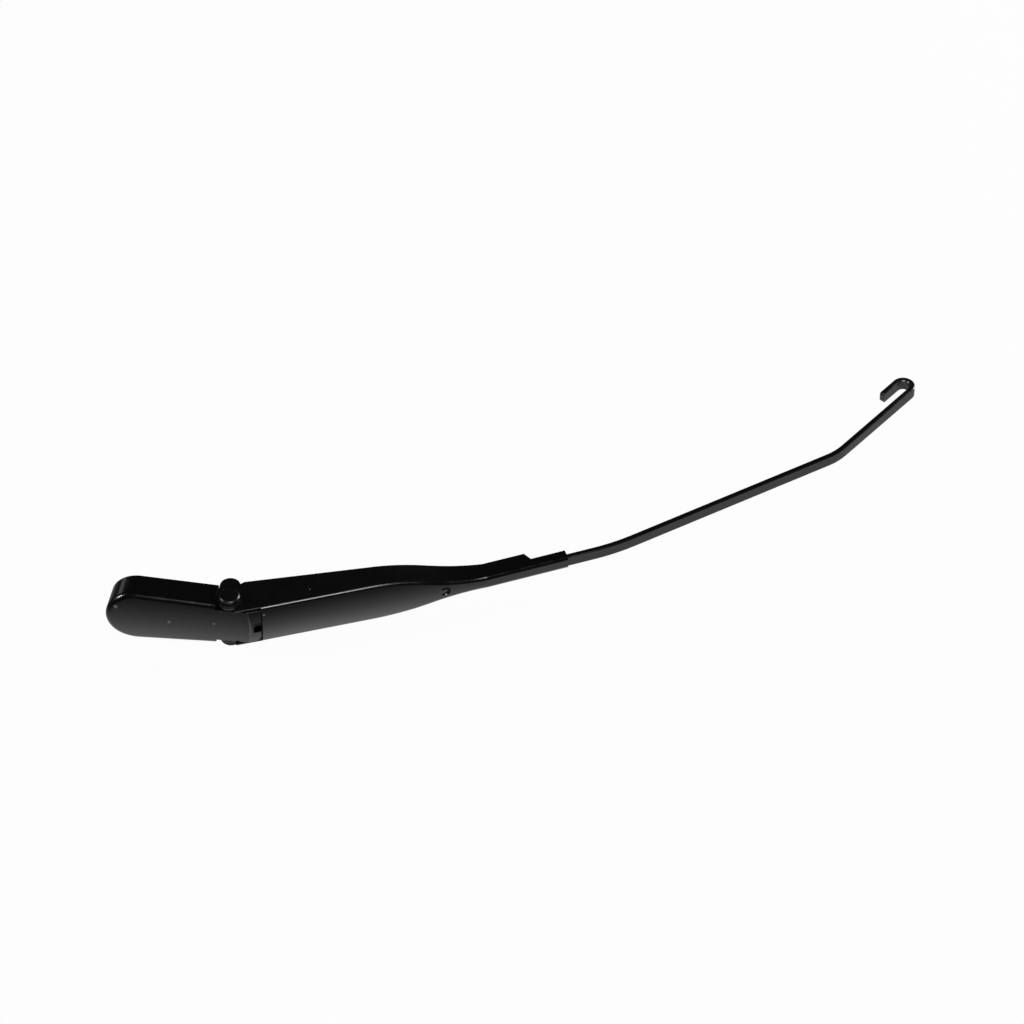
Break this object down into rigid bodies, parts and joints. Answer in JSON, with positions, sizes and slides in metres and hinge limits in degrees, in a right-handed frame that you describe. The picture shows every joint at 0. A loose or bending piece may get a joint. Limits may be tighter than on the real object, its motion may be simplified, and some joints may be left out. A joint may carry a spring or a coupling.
{
  "type": "wiper arm",
  "caption": "Hook-type windscreen wiper arm: round cast head with a spindle socket, sprung folding channel and a bent flat bar that ends in a hook for the blade.",
  "frame": {"origin": "spindle axis in the head's mounting face", "axes": "+X from the spindle towards the arm's tip, +Y out of the spindle socket and towards the glass, +Z across the arm"},
  "size_m": [0.5482, 0.3077, 0.0444],
  "materials": {
    "black_casting": "semi-gloss black coating on die casting",
    "black_paint": "semi-gloss black coating on steel",
    "bush_plastic": "natural, smooth",
    "plain_steel": "ground",
    "plated_steel": "zinc plated",
    "spring_steel": "oiled"
  },
  "bodies": {
    "head": {"head": "black_casting", "upper_pivot_bush": "bush_plastic", "lower_pivot_bush": "bush_plastic", "spring_pin": "plain_steel"},
    "arm": {"retainer": "black_paint", "wiper_bar": "black_paint", "anchor_rivet": "black_paint", "pivot_rivet": "black_paint"},
    "link": {"spring_link": "plated_steel", "tension_spring": "spring_steel"},
    "rear": {"rear_link": "plated_steel"},
    "latch": {"slide_latch": "plated_steel"}
  },
  "joints": [
    {"name": "arm_fold", "type": "hinge", "parent": "head", "child": "arm", "pos_m": [0.0656, -0.013, 0], "axis": [0, 0, -1], "range_deg": [0, 50], "stiffness_Nm_per_rad": 2, "springref_deg": -85.94},
    {"name": "link_swing", "type": "hinge", "parent": "head", "child": "link", "pos_m": [0.0636, 0.001, 0], "axis": [0, 0, -1], "range_deg": [0, 50]},
    {"name": "rear_pull", "type": "slide", "parent": "link", "child": "rear", "axis": [0.9697, 0.2442, 0], "range_m": [0, 0.012], "deforming": ["tension_spring"]},
    {"name": "latch_slide", "type": "slide", "parent": "head", "child": "latch", "axis": [-1, 0, 0], "range_m": [0, 0.006]}
  ],
  "couplings": [
    {"joint": "link_swing", "follows": "arm_fold", "ratio": 0.978},
    {"joint": "rear_pull", "follows": "arm_fold", "m_per_rad": 0.0133}
  ]
}
